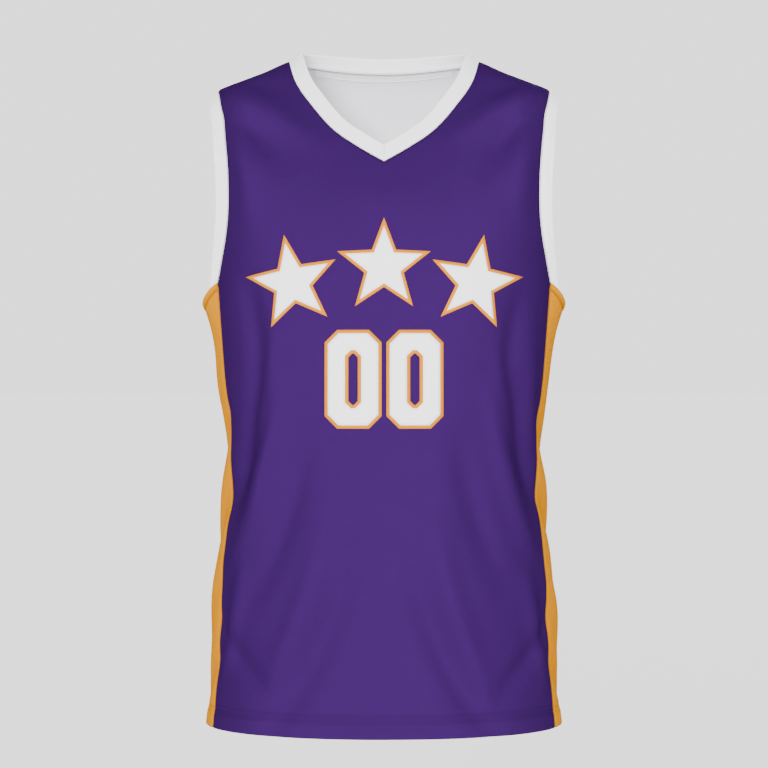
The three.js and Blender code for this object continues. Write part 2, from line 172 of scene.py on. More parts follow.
# Folds: each a soft ridge (rise above 0) or trough (below 0) along a line that bows sideways by
# bend. across is x on the front and back, and y on a side; width is half the swell's width.
FOLDS = table(
    "on across z to_across to_z bend width rise",
    (FRONT, -168, -32, -72, -88, 6, 15, 4.5),
    (FRONT, -170, -50, -114, -104, 6, 17, -7),
    (FRONT, -150, -16, -104, -30, 4, 14, -3),
    (FRONT, 168, -28, 74, -82, -7, 15, 4.2),
    (FRONT, 170, -46, 112, -110, -7, 17, -7),
    (FRONT, 148, -14, 106, -32, -3, 14, -3),
    (FRONT, -162, -84, -146, -160, 5, 15, 3),
    (FRONT, 160, -90, 148, -152, -4, 15, 2.8),
    (FRONT, -146, -240, -134, -352, 3, 14, -5.5),
    (FRONT, 146, -252, 134, -346, -3, 13, -5),
    (FRONT, -120, -300, -146, -420, 4, 11, 3.4),
    (FRONT, 122, -312, 146, -412, -4, 11, 3.2),
    (FRONT, -112, -345, -160, -530, 8, 14, 6),
    (FRONT, 114, -350, 158, -520, -7, 13, 6),
    (FRONT, -138, -345, -162, -478, 4, 14, -7.5),
    (FRONT, 140, -350, 162, -470, -4, 14, -7.2),
    (FRONT, -82, -400, -136, -570, 6, 17, -5),
    (FRONT, 82, -410, 130, -562, -7, 17, -4.8),
    (FRONT, -58, -470, -120, -660, 8, 16, 5),
    (FRONT, 54, -490, 108, -668, -8, 16, 4.6),
    (FRONT, -34, -520, -116, -706, 10, 17, -6.5),
    (FRONT, 34, -545, 112, -708, -10, 17, -6.5),
    (FRONT, -152, -540, -172, -650, 2, 12, 4.6),
    (FRONT, 154, -555, 174, -660, -2, 12, 4.4),
    (FRONT, -176, -600, -124, -668, -6, 12, -4.6),
    (FRONT, 178, -596, 122, -672, 6, 12, -4.8),
    (FRONT, -10, -560, -20, -700, 3, 24, 3),
    (FRONT, -120, -684, 108, -690, -10, 12, 2),
    (FRONT, -34, -150, 40, -158, 8, 26, 1.6),
    (BACK, -135, -385, -158, -500, -4, 19, -8.4),
    (BACK, 132, -380, 152, -490, 4, 18, -7.3),
    (BACK, -112, -350, -132, -520, -5, 18, 4.9),
    (BACK, 110, -345, 130, -510, 5, 18, 4.3),
    (BACK, -160, -44, -112, -92, -5, 20, -3),
    (BACK, 161, -40, 116, -96, 5, 20, -3.2),
    (BACK, -158, -256, -150, -330, -2, 14, -3.2),
    (BACK, 157, -262, 150, -322, 3, 14, -3.5),
    (BACK, -70, -470, -104, -610, -6, 20, -2.7),
    (BACK, 60, -480, 100, -600, 6, 20, -3),
    (BACK, -20, -520, -40, -640, -4, 26, 2.2),
    (BACK, 36, -560, 64, -650, 4, 22, 1.9),
    (BACK, -96, -652, 112, -664, 8, 22, -4.9),
    (BACK, -120, -626, 60, -634, 6, 18, 2.7),
    (BACK, -150, -560, -120, -640, 4, 16, 3),
    (BACK, 152, -570, 118, -646, -4, 16, 2.7),
    (RIGHT, 2, -300, 14, -375, 4, 14, -4.2),
    (RIGHT, -34, -318, -14, -372, -3, 12, 2.2),
    (RIGHT, -62, -378, 8, -474, 6, 14, -5.2),
    (RIGHT, -70, -420, -4, -512, 6, 13, 3.2),
    (RIGHT, -74, -462, 12, -588, 8, 15, -5.5),
    (RIGHT, -66, -540, -8, -626, 5, 14, 3),
    (RIGHT, -84, -640, -22, -704, 5, 15, -4),
    (RIGHT, 74, -392, 82, -528, -4, 18, 3.5),
    (RIGHT, 34, -648, 78, -668, 3, 11, -2.2),
    (RIGHT, -126, -398, -118, -480, 3, 14, 3),
    (LEFT, -2, -302, 10, -368, 4, 14, -5.1),
    (LEFT, 26, -322, 8, -384, 3, 12, 2.6),
    (LEFT, -62, -384, 4, -462, 6, 14, -6.7),
    (LEFT, -66, -428, 2, -506, 6, 13, 3.8),
    (LEFT, -64, -468, 16, -572, 8, 15, -7.4),
    (LEFT, -70, -560, -12, -636, 5, 14, 3.5),
    (LEFT, -76, -650, -18, -706, 5, 15, -5.1),
    (LEFT, 76, -400, 84, -540, 4, 18, 4.2),
    (LEFT, 36, -656, 76, -674, -3, 11, -2.6),
    (LEFT, -98, -290, -84, -404, -4, 14, 3.5),
)


# Curves and surfaces

def read(rows, key, column, at):
    """A table's column at places along its key: a cubic curve through the rows, whose slope at each
    row is that of the line joining its two neighbours."""
    keys, values = rows[key], rows[column]
    at = np.clip(at, keys[0], keys[-1])
    slopes = np.empty_like(values)
    slopes[1:-1] = (values[2:] - values[:-2]) / (keys[2:] - keys[:-2])
    slopes[0] = (values[1] - values[0]) / (keys[1] - keys[0])
    slopes[-1] = (values[-1] - values[-2]) / (keys[-1] - keys[-2])
    i = np.clip(np.searchsorted(keys, at) - 1, 0, len(keys) - 2)
    step = keys[i + 1] - keys[i]
    t = (at - keys[i]) / step
    rest = 1 - t
    ends = values[i] * rest**2 * (1 + 2 * t) + values[i + 1] * t**2 * (3 - 2 * t)
    return ends + step * t * rest * (rest * slopes[i] - t * slopes[i + 1])


def section_at(z):
    """The section's measures at a level, by name. Above the chest they stay as at the chest."""
    level = np.minimum(z, CHEST_Z)
    return {name: read(SECTIONS, "z", name, level) for name in SECTIONS if name != "z"}


def superellipse(share, power):
    """The other half-axis's share on a superellipse: (1 - |share|^power)^(1/power)."""
    return np.maximum(1 - np.abs(share) ** power, 0) ** (1 / power)


def smoothstep(value, low, high):
    """A soft step from 0 at low to 1 at high: 3 t^2 - 2 t^3."""
    t = np.clip((value - low) / (high - low), 0, 1)
    return t * t * (3 - 2 * t)


def bell(distance, width):
    """1 at distance 0, fading as exp(-(distance / width)^2)."""
    return np.exp(-((distance / width) ** 2))


def side_name(face):
    """The tables' word for a face."""
    return "front" if face == FRONT else "back"


def depth_at(face, x, s):
    """Depth of the front or back sheet off the shoulder line: half a superellipse, round the level
    where the section is widest."""
    share = x / s["half_width"]
    if face == FRONT:
        reach = superellipse(share, s["front_square"])
        return s["widest"] + (s["front"] - s["widest"]) * reach
    return -s["widest"] + (s["back"] + s["widest"]) * superellipse(share, s["back_square"])


def arch_height(face, x):
    """How high a sheet arches over the chest's level at x."""
    return read(SHOULDER_LINE, "x", side_name(face), np.abs(x)) - CHEST_Z


def sheet_point(face, x, climb):
    """A point of the front or back sheet. Up to climb 0 it rises with height from the hem to the
    chest. From 0 to 1 it follows a quarter superellipse from the chest over to the shoulder line:
    depth times cos and height times sin of the angle, over the length of the two."""
    z = CHEST_Z + np.minimum(climb, 0) * (CHEST_Z - HEM_Z)
    depth = depth_at(face, x, section_at(z))
    power = read(FULLNESS, "x", side_name(face), np.abs(x))
    angle = np.maximum(climb, 0) * math.pi / 2
    size = (np.sin(angle) ** power + np.abs(np.cos(angle)) ** power) ** (1 / power)
    y = face * depth * np.cos(angle) / size
    return np.stack([x + 0 * y, y, z + arch_height(face, x) * np.sin(angle) / size], -1)


def climb_at(face, x, z):
    """The climb at which a sheet passes through level z at x."""
    low = (z - CHEST_Z) / (CHEST_Z - HEM_Z)
    share = np.clip((z - CHEST_Z) / arch_height(face, x), 0, 1)
    power = read(FULLNESS, "x", side_name(face), np.abs(x))
    return np.where(z <= CHEST_Z, low, np.arctan2(share, superellipse(share, power)) / (math.pi / 2))


def side_point(side, y, z):
    """A point of the body's left (1) or right (-1) flank, at depth y: the half width times the
    superellipse of y's share of the section's front or back depth."""
    s = section_at(z)
    off = y + s["widest"]
    ahead = superellipse(off / (s["front"] - s["widest"]), s["front_square"])
    behind = superellipse(off / (s["back"] + s["widest"]), s["back_square"])
    return np.stack([side * s["half_width"] * np.where(off < 0, ahead, behind), y + 0 * z, z + 0 * y], -1)


def unit(vectors):
    """Vectors over their own length."""
    return vectors / np.maximum(np.linalg.norm(vectors, axis=-1, keepdims=True), 1e-12)


def normals_of(surface, u, v, u_step, v_step, outward):
    """Unit normals of a surface of two parameters, by the cross product of small steps along each,
    turned to the side that outward points to."""
    along = unit(surface(u + u_step, v) - surface(u - u_step, v))
    up = unit(surface(u, v + v_step) - surface(u, v - v_step))
    normal = unit(np.cross(along, up))
    return normal * np.where((normal * outward).sum(-1, keepdims=True) < 0, -1, 1)


def fold_lines():
    """Each fold as points along its bowed line, with its width and rise."""
    lines = []
    share = np.linspace(0, 1, 21)
    for on, across, z, to_across, to_z, bend, width, rise in zip(*FOLDS.values()):
        run = np.array([to_across - across, to_z - z])
        bow = bend * 4 * share * (1 - share) / max(np.hypot(*run), 1)
        a = across + run[0] * share - run[1] * bow
        b = z + run[1] * share + run[0] * bow
        if abs(on) == 2:
            points = side_point(on / 2, a, b)
        else:
            points = sheet_point(on, a, climb_at(on, a, b))
        lines.append((points, width, rise))
    return lines


FOLD_LINES = fold_lines()


def fold_rise(points):
    """How far the folds lift the cloth: each is a bell across its line, exp(-(distance/width)^2),
    that fades to four tenths at its ends."""
    rise = np.zeros(points.shape[:-1])
    for line, width, height in FOLD_LINES:
        reach = 3 * width
        near = np.all(
            (points > line.min(0) - reach) & (points < line.max(0) + reach), axis=-1
        )
        some = points[near]
        if not len(some):
            continue
        start, run = line[:-1], np.diff(line, axis=0)
        off = some[:, None] - start
        t = np.clip((off * run).sum(-1) / (run * run).sum(-1), 0, 1)
        away = np.linalg.norm(off - t[..., None] * run, axis=-1)
        which = away.argmin(1)
        row = np.arange(len(some))
        share = (which + t[row, which]) / len(run)
        fade = 1 - 0.6 * (2 * share - 1) ** 2
        rise[near] += height * fade * bell(away[row, which], width)
    return rise


def on_sheet(face, x, climb):
    """Points and normals of the front or back cloth, folds included."""
    points = sheet_point(face, x, climb)
    flat = 0 * points[..., 0]
    outward = np.stack([flat, 0.6 * face + flat, np.where(climb > 0.3, 1.0, 0.01) + flat], -1)
    normals = normals_of(partial(sheet_point, face), x, climb, 0.02, 1e-4, outward)
    return points + normals * fold_rise(points)[..., None], normals


def on_flank(side, across, level):
    """Points and normals of a side panel: across runs from -1 at the front seam to 1 at the back
    seam. The top edge stands out sideways, and that fades below it."""
    s = section_at(level)
    y = -s["widest"] + across * s["side_half"]
    points = side_point(side, y, level)
    normals = normals_of(partial(side_point, side), y, level, 0.02, 0.02, np.array([side, 0.0, 0.0]))
    points = points + normals * fold_rise(points)[..., None]
    drop = np.maximum(CHEST_Z - UNDERARM_DIP * (1 - across**2) - level, 0)
    flare = UNDERARM_FLARE * (1 - across**4) * np.exp(-drop / FLARE_FADE)
    points[..., 0] += side * flare
    return points, normals


# Grids

def crowded(count, start=0.0, end=0.0):
    """count + 1 shares from 0 to 1, closer together towards an end by its amount, up to about 0.9."""
    t = np.linspace(0, 1, count + 1)
    return t - start * t * (1 - t) ** 2 + end * (1 - t) * t**2


def polar_reach(angle, power):
    """The half width that a superellipse has at a polar angle: sin over the length of the two."""
    return np.sin(angle) / (np.sin(angle) ** power + np.cos(angle) ** power) ** (1 / power)


def polar_share(share, s):
    """Half width in the section's own polar angle, as a share of that at the side seam."""
    power = s["front_square"]
    seam = s["side_half"] / (s["front"] - s["widest"])
    edge = np.arctan2(superellipse(seam, power), seam)
    return np.sign(share) * polar_reach(edge * np.abs(share), power) / polar_reach(edge, power)


def seam_x(face, z):
    """Half the distance between a panel's side seams at a level."""
    s = section_at(z)
    return np.abs(side_point(1, -s["widest"] + face * s["side_half"], z)[..., 0])


def panel_grid(face, body_rows, chest_rows, neck_columns, shoulder_columns):
    """Points and normals of a body panel. Rows rise from the hem to the chest, then over to the
    shoulder and neckline; columns run from edge to edge, with one at each neck point."""
    neck = NECK_POINT_X * (1 - (1 - np.linspace(0, 1, neck_columns + 1)) ** NECK_CROWDING)
    outer = crowded(shoulder_columns, 0, 0.9)
    shoulder = NECK_POINT_X + (SHOULDER_TIP_X - NECK_POINT_X) * outer[1:]
    half = np.concatenate([neck, shoulder]) / SHOULDER_TIP_X
    share = np.concatenate([-half[:0:-1], half])[None]
    low = crowded(body_rows, 0.9, 0)[:-1, None] - 1
    x_low = seam_x(face, CHEST_Z + low * (CHEST_Z - HEM_Z))
    x_low = x_low * polar_share(share, section_at(CHEST_Z + low * (CHEST_Z - HEM_Z)))
    high = crowded(chest_rows, 0, 0.9)[:, None]
    blend = high * high * (3 - 2 * high)
    chest = polar_share(share, section_at(np.array(CHEST_Z)))
    edge = read(ARMHOLE, "climb", side_name(face), high)
    x_high = edge * (chest * (1 - blend) + share * blend)
    top_x = np.minimum(np.abs(share) * SHOULDER_TIP_X, NECK_POINT_X)
    top = climb_at(face, top_x, read(NECKLINE, "x", side_name(face), top_x))
    top = np.where(np.abs(share) * SHOULDER_TIP_X < NECK_POINT_X - 0.01, top, 1.0)
    power = np.clip(0.9 / np.maximum(1 - top, 0.01), 1, STEEPEST_ROWS)
    x = np.concatenate([x_low, x_high])
    climb = np.concatenate([low + 0 * share, high - (1 - top) * high**power])
    return on_sheet(face, x, climb)


def flank_grid(side, rows, columns):
    """Points and normals of a side panel. The rows near the top dip with its edge."""
    share = crowded(rows, 0.6, 0.9)[:, None]
    across = 2 * crowded(columns, 0.9, 0.9)[None] - 1
    level = HEM_Z + share * (CHEST_Z - HEM_Z)
    level = level - UNDERARM_DIP * (1 - across**2) * smoothstep(share, 0.6, 1)
    return on_flank(side, across, level)


def run_lengths(points, axis):
    """Distance along each row or column from its start."""
    steps = np.linalg.norm(np.diff(points, axis=axis), axis=-1)
    return np.insert(np.cumsum(steps, axis=axis), 0, 0, axis=axis)


def real_uv(points):
    """A map in metres: distance from the middle column, and distance up from the bottom row."""
    along = run_lengths(points, 1)
    up = run_lengths(points, 0)
    middle = along[:, along.shape[1] // 2][:, None]
    return np.stack([along - middle, up], -1) * MM


# Meshes

def grid_quads(rows, columns, first, round_grid):
    """Corner numbers of a grid's quads, its points numbered row by row from first."""
    i, j = np.meshgrid(np.arange(rows - 1), np.arange(columns - (not round_grid)), indexing="ij")
    k = (j + 1) % columns
    quads = [i * columns + j, i * columns + k, (i + 1) * columns + k, (i + 1) * columns + j]
    return first + np.stack(quads, -1).reshape(-1, 4)


def loop_quads(a, b, closed=True):
    """Quads between two lists of point numbers."""
    count = len(a) if closed else len(a) - 1
    k = np.arange(count)
    n = (k + 1) % len(a)
    return np.stack([a[k], b[k], b[n], a[n]], -1)


def volume_sign(points, quads):
    """1 where the quads' faces point outwards, -1 where they point inwards."""
    a, b, c, d = (points[quads[:, k]] for k in range(4))
    triple = (a * np.cross(b, c)).sum() + (a * np.cross(c, d)).sum()
    return -1 if triple < 0 else 1


def add_mesh(name, points, quads, uv, slots, materials, closed=True, shade=None):
    """A mesh object at the origin, in metres, shaded smooth, with its map and materials. A closed
    one is turned so that its faces point outwards. shade is how much darker each point is painted:
    painted shade in seams, creases and stitch rows."""
    if closed and volume_sign(points, quads) < 0:
        quads = quads[:, ::-1]
    mesh = bpy.data.meshes.new(name)
    mesh.from_pydata((points * MM).tolist(), [], quads.tolist())
    mesh.polygons.foreach_set("use_smooth", np.ones(len(quads), bool))
    mesh.polygons.foreach_set("material_index", np.asarray(slots, np.int32))
    layer = mesh.uv_layers.new(name="UVMap")
    corners = np.empty(len(mesh.loops), np.int32)
    mesh.loops.foreach_get("vertex_index", corners)
    layer.data.foreach_set("uv", uv[corners].astype(np.float32).ravel())
    if shade is not None:
        mesh.attributes.new("shade", "FLOAT", "POINT").data.foreach_set("value", shade.astype(np.float32))
    for material in materials:
        mesh.materials.append(material)
    mesh.update()
    obj = bpy.data.objects.new(name, mesh)
    bpy.context.scene.collection.objects.link(obj)
    return obj


def border(grid):
    """A grid's border in turn, starting along its first row."""
    return np.concatenate([grid[0], grid[1:, -1], grid[-1, -2::-1], grid[-2:0:-1, 0]])


def with_rim(values, edge):
    """Values of the outer grid, again for the inner one, and once more for the rim's middle."""
    return np.concatenate([values, values, values[edge]])


def cloth_sheet(name, outer, normals, uv, wall, materials, shade=None):
    """A thin closed sheet: the outer grid, an inner one a wall's depth behind it, and a rounded rim
    round the edge. The second material goes inside."""
    rows, columns = outer.shape[:2]
    flat, under = outer.reshape(-1, 3), (outer - normals * wall).reshape(-1, 3)
    count = len(flat)
    row = np.clip(np.arange(rows), 1, rows - 2)[:, None]
    column = np.clip(np.arange(columns), 1, columns - 2)[None]
    edge, within = border(np.arange(count).reshape(rows, columns)), border(row * columns + column)
    rim = (flat[edge] + under[edge]) / 2 + unit(flat[edge] - flat[within]) * wall * 0.35
    middle = 2 * count + np.arange(len(edge))
    face = grid_quads(rows, columns, 0, False)
    turned = np.concatenate([loop_quads(edge, middle), loop_quads(middle, edge + count)])[:, ::-1]
    slots = [np.zeros(len(face)), np.full(len(face), len(materials) - 1), np.zeros(len(turned))]
    return add_mesh(
        name, np.concatenate([flat, under, rim]), np.concatenate([face, face[:, ::-1] + count, turned]),
        with_rim(uv.reshape(-1, 2), edge), np.concatenate(slots), materials,
        shade=None if shade is None else with_rim(shade.ravel(), edge),
    )


def add_solidify(obj, wall):
    """Gives a surface its thickness, inwards."""
    made = obj.modifiers.new("Thickness", "SOLIDIFY")
    made.thickness = wall * MM
    made.offset = -1
    made.use_even_offset = True
    return obj


# Materials

def new_material(name):
    """A material with its node tree and shader."""
    material = bpy.data.materials.new(name)
    material.use_nodes = True
    shader = material.node_tree.nodes["Principled BSDF"]
    return material, material.node_tree, shader


def math_node(tree, operation, a, b=None):
    """The output of a sum on sockets or numbers."""
    node = tree.nodes.new("ShaderNodeMath")
    node.operation = operation
    for socket, value in zip(node.inputs, (a, b)):
        if value is None:
            continue
        if isinstance(value, (int, float)):
            socket.default_value = value
        else:
            tree.links.new(value, socket)
    return node.outputs[0]


def wave(tree, source, pitch):
    """A sine along a map coordinate in metres, one wave for each pitch in millimetres."""
    return math_node(tree, "SINE", math_node(tree, "MULTIPLY", source, 2 * math.pi / (pitch * MM)))


def map_axes(tree):
    """The two coordinates of the piece's own map, in metres."""
    source = tree.nodes.new("ShaderNodeUVMap")
    source.uv_map = "UVMap"
    split = tree.nodes.new("ShaderNodeSeparateXYZ")
    tree.links.new(source.outputs[0], split.inputs[0])
    return split.outputs[0], split.outputs[1]


def cloth_material(name, colour, height_of, depth, roughness, sheen, variation, gloss, satin):
    """Cloth: a plain colour, slightly uneven, and darker where the mesh's shade attribute paints shade
    into seams, creases and stitch rows, with a sheen and a relief of its threads made by
    height_of(tree, u, v), depth millimetres deep. satin is the share that shines in the cloth's own
    colour."""
    material, tree, shader = new_material(name)
    noise = tree.nodes.new("ShaderNodeTexNoise")
    noise.inputs["Scale"].default_value = 35
    noise.inputs["Detail"].default_value = 3
    where = tree.nodes.new("ShaderNodeTexCoord")
    tree.links.new(where.outputs["Object"], noise.inputs["Vector"])
    spread = tree.nodes.new("ShaderNodeMapRange")
    spread.inputs["To Min"].default_value = 1 - variation
    spread.inputs["To Max"].default_value = 1 + variation
    tree.links.new(noise.outputs[0], spread.inputs["Value"])
    tint = tree.nodes.new("ShaderNodeVectorMath")
    tint.operation = "SCALE"
    tint.inputs[0].default_value = colour[:3]
    # Painted shade: the mesh's shade attribute darkens the colour in seams, creases and stitch rows.
    seam = tree.nodes.new("ShaderNodeAttribute")
    seam.attribute_name = "shade"
    light = math_node(tree, "SUBTRACT", 1.0, seam.outputs["Fac"])
    tree.links.new(math_node(tree, "MULTIPLY", spread.outputs[0], light), tint.inputs["Scale"])
    tree.links.new(tint.outputs[0], shader.inputs["Base Color"])
    shader.inputs["Roughness"].default_value = roughness
    shader.inputs["Sheen Weight"].default_value = sheen
    shader.inputs["Sheen Roughness"].default_value = 0.35
    shader.inputs["Sheen Tint"].default_value = colour
    shader.inputs["Specular IOR Level"].default_value = gloss
    shader.inputs["Specular Tint"].default_value = colour
    shader.inputs["Metallic"].default_value = satin
    bump = tree.nodes.new("ShaderNodeBump")
    bump.inputs["Distance"].default_value = depth * MM
    bump.inputs["Strength"].default_value = 0.6
    tree.links.new(height_of(tree, *map_axes(tree)), bump.inputs["Height"])
    tree.links.new(bump.outputs[0], shader.inputs["Normal"])
    return material


def knit_height(tree, u, v):
    """Wales 1 mm apart, crossed by finer courses."""
    return math_node(tree, "ADD", wave(tree, u, 1.0),
                     math_node(tree, "MULTIPLY", wave(tree, v, 0.8), 0.4))


def rib_height(tree, u, v):
    """Ribs across a band, 1.9 mm apart along it."""
    return wave(tree, u, 1.9)


def twill_height(tree, u, v):
    """Slanting ridges 0.8 mm apart."""
    return wave(tree, math_node(tree, "ADD", u, v), 0.8)


def thread_material(name, colour, shade):
    """Thread: a dull plain colour, a shade of the cloth's."""
    material, tree, shader = new_material(name)
    shader.inputs["Base Color"].default_value = [shade * part for part in colour[:3]] + [1]
    shader.inputs["Roughness"].default_value = 0.6
    shader.inputs["Specular IOR Level"].default_value = 0.1
    return material


# Each cloth's colour, the relief of its threads and how deep that is, then its roughness, sheen,
# unevenness, gloss and satin.
CLOTHS = {
    "purple_cloth": ("purple", knit_height, 0.12, 0.55, 0.0, 0.03, 0.0, 0.28),
    "gold_cloth": ("gold", knit_height, 0.12, 0.55, 0.02, 0.02, 0.0, 0.0),
    "inside_cloth": ("inside", knit_height, 0.12, 0.8, 0.05, 0.02, 0.12, 0.0),
    "rib_cloth": ("white", rib_height, 0.25, 0.75, 0.1, 0.01, 0.12, 0.0),
    "white_twill": ("white", twill_height, 0.08, 0.6, 0.05, 0.01, 0.12, 0.0),
    "gold_twill": ("outline", twill_height, 0.08, 0.6, 0.05, 0.01, 0.12, 0.0),
}

# Each thread's colour, and its shade against the cloth's.
THREADS = {
    "purple_thread": ("purple", 0.8),
    "gold_thread": ("gold", 0.8),
    "white_thread": ("white", 0.95),
}


def material_named(name):
    """The cloth or thread of this name, made when it is first asked for."""
    found = bpy.data.materials.get(name)
    if found:
        return found
    colours = bpy.context.scene.jersey_colours
    if name in THREADS:
        colour, shade = THREADS[name]
        return thread_material(name, getattr(colours, colour), shade)
    colour, *finish = CLOTHS[name]
    return cloth_material(name, getattr(colours, colour), *finish)


# Bands

def ways_out(points, normals, round_edge, inside):
    """From each point of a sewn edge, the way along the cloth and square to the edge, with the mitre
    where the edge turns. inside is a point or points that the ways lead towards."""
    nxt = np.roll(points, -1, 0) - points
    square = unit(np.cross(normals, nxt))
    toward = inside - points
    square *= np.where((square * toward).sum(-1, keepdims=True) < 0, -1, 1)
    before = np.roll(square, 1, 0)
    if not round_edge:
        square[-1] = before[-1]
        before[0] = square[0]
    return (square + before) / (1 + (square * before).sum(-1, keepdims=True))


def band_profile(width, wall, steps):
    """The section of a doubled band: reach from the seam and height off its middle, out along the
    face, round the folded edge and back, with the two layers pinched at the seam."""
    radius = wall / 2
    reach = (width - radius) * np.linspace(0, 1, steps)
    turn = np.linspace(math.pi / 2, -math.pi / 2, 9)[1:-1]
    pinch = 0.55 + 0.45 * smoothstep(reach, 0, 3)
    u = np.concatenate([reach, width - radius + radius * np.cos(turn), reach[::-1]])
    v = np.concatenate([radius * pinch, radius * np.sin(turn), -radius * pinch[::-1]])
    return u, v


def rib_band(name, points, normals, ways, leans, widths, wall, round_edge):
    """A band along a sewn edge. Its section leaves the edge in line with the cloth and turns to the
    lean. No section reaches over the middle plane, so the halves meet there in a mitre."""
    full = np.median(widths)
    reach, height = (part[:, None, None] for part in band_profile(full, wall, 14))
    wide = BAND_START + reach * widths[:, None] / full
    angle = np.radians(leans)[:, None] * smoothstep(wide, 1.2, 6)
    face = normals * np.cos(angle) - unit(ways) * np.sin(angle)
    middle = points + ways * wide * np.cos(angle) + normals * wide * np.sin(angle)
    grid = middle + face * (height - BAND_SINK)
    half = np.sign(np.round(points[:, 0], 2))
    grid[..., 0] = np.where(half * grid[..., 0] < 0, 0, grid[..., 0])
    rows, count = grid.shape[:2]
    along = run_lengths(points[None], 1)[0]
    uv = np.stack(np.broadcast_arrays(along[None], reach[..., 0]), -1) * MM
    quads = [grid_quads(rows, count, 0, round_edge)]
    numbers = np.arange(rows * count).reshape(rows, count)
    quads.append(loop_quads(numbers[-1], numbers[0], round_edge))
    if not round_edge:
        half = rows // 2
        for k, flip in ((0, False), (count - 1, True)):
            a, b = numbers[:half, k], numbers[: rows - half - 1 : -1, k]
            cap = loop_quads(a, b, False)
            quads.append(cap[:, ::-1] if flip else cap)
    quads = np.concatenate(quads)
    return add_mesh(
        name, grid.reshape(-1, 3), quads, uv.reshape(-1, 2), np.zeros(len(quads)),
        [material_named("rib_cloth")],
    )


def neck_edge(front_count, back_count):
    """The neckline as a closed loop of points and normals, with each one's place for NECK_LEAN."""
    t = np.linspace(-1, 1, front_count)
    x = NECK_POINT_X * np.sign(t) * (1 - (1 - np.abs(t)) ** NECK_CROWDING)
    fp, fn = on_sheet(FRONT, x, np.minimum(climb_at(FRONT, x, read(NECKLINE, "x", "front", np.abs(x))), 1))
    s = np.linspace(1, -1, back_count)[1:-1]
    bx = NECK_POINT_X * np.sin(s * math.pi / 2)
    bp, bn = on_sheet(BACK, bx, np.minimum(climb_at(BACK, bx, read(NECKLINE, "x", "back", np.abs(bx))), 1))
    at = np.concatenate([np.abs(x) / NECK_POINT_X, 2 - np.abs(bx) / NECK_POINT_X])
    return np.concatenate([fp, bp]), np.concatenate([fn, bn]), at


def armhole_edge(side, count):
    """The armhole's edge from the front corner over the shoulder to the back corner."""
    climb = crowded(count, 0.6, 0.6)
    fx = side * read(ARMHOLE, "climb", "front", climb)
    fp, fn = on_sheet(FRONT, fx, climb)
    back = climb[-2::-1]
    bx = side * read(ARMHOLE, "climb", "back", back)
    bp, bn = on_sheet(BACK, bx, back)
    return np.concatenate([fp, bp]), np.concatenate([fn, bn])


# Stitches and twill shapes

def along_path(distance, along, values):
    """A path's values at distances along it, between its points."""
    return np.stack([np.interp(distance, along, values[:, k]) for k in range(3)], -1)


def stitch_row(points, normals, pitch, share, width, lift):
    """Points and quads of a row of stitches along a path: one slim lozenge for each pitch."""
    along = run_lengths(points, 0)
    count = max(int(along[-1] / pitch), 1)
    step = along[-1] / count
    start = (np.arange(count) + (1 - share) / 2) * step
    rings = []
    for part, wide in ((0.0, 0.35), (0.25, 1.0), (0.75, 1.0), (1.0, 0.35)):
        at = start + part * share * step
        centre, up = along_path(at, along, points), unit(along_path(at, along, normals))
        ahead = unit(along_path(at + 0.3, along, points) - along_path(at - 0.3, along, points))
        side = unit(np.cross(up, ahead))
        high = lift + width * 0.3 * (1.0 if wide == 1.0 else -0.6)
        ring = [centre + up * high + side * width / 2 * wide * a + up * width / 2 * wide * b
                for a, b in ((1, 0), (0, 0.8), (-1, 0), (0, -0.8))]
        rings.append(np.stack(ring, 1))
    made = np.stack(rings, 1).reshape(-1, 3)
    one = np.concatenate([grid_quads(4, 4, 0, True), [[3, 2, 1, 0], [12, 13, 14, 15]]])
    quads = (one[None] + 16 * np.arange(count)[:, None, None]).reshape(-1, 4)
    return made, quads


def add_stitches(name, rows, material):
    """One object of many rows of stitches."""
    points, quads, first = [], [], 0
    for made, faces in rows:
        points.append(made)
        quads.append(faces + first)
        first += len(made)
    points, quads = np.concatenate(points), np.concatenate(quads)
    return add_mesh(name, points, quads, np.zeros((len(points), 2)), np.zeros(len(quads)),
                    [material_named(material)])


def lay_on(face, flat, lift):
    """Points and normals of flat shapes, given as x and z, laid on a sheet and lifted off it."""
    x, z = flat[..., 0], flat[..., 1]
    points, normals = on_sheet(face, x, climb_at(face, x, z))
    return points + normals * lift, normals


def quad_patches(patches, cell):
    """A mesh of four-cornered patches, each divided into cells and joined along shared edges."""
    points, quads, first = [], [], 0
    for corners in patches:
        a, b, c, d = np.array(corners, float)
        m = max(int(np.ceil(max(np.hypot(*(b - a)), np.hypot(*(c - d))) / cell)), 1)
        n = max(int(np.ceil(max(np.hypot(*(d - a)), np.hypot(*(c - b))) / cell)), 1)
        s = np.linspace(0, 1, m + 1)[None, :, None]
        t = np.linspace(0, 1, n + 1)[:, None, None]
        grid = (a * (1 - s) + b * s) * (1 - t) + (d * (1 - s) + c * s) * t
        points.append(grid.reshape(-1, 2))
        quads.append(grid_quads(n + 1, m + 1, first, False))
        first += (m + 1) * (n + 1)
    points, quads = np.concatenate(points), np.concatenate(quads)
    _, kept, number = np.unique(np.round(points, 3), axis=0, return_index=True, return_inverse=True)
    return points[kept], number.reshape(-1)[quads]


def octagon(centre, half_width, half_height, cut):
    """Eight corners of a box with cut corners, in turn."""
    a, b, c = half_width, half_height, cut
    corners = [(a, b - c), (a - c, b), (c - a, b), (-a, b - c),
               (-a, c - b), (c - a, -b), (a - c, -b), (a, c - b)]
    return np.array(centre) + np.array(corners)


def zero_rings(centre, width, height, stroke, grow):
    """Outer and inner outlines of a block numeral nought, both moved apart by grow."""
    cut = stroke * 0.62
    out = octagon(centre, width / 2 + grow, height / 2 + grow, cut + grow * 0.59)
    hole = octagon(centre, width / 2 - stroke - grow, height / 2 - stroke - grow,
                   max(cut * 0.55 - grow * 0.59, 1.0))
    return out, hole


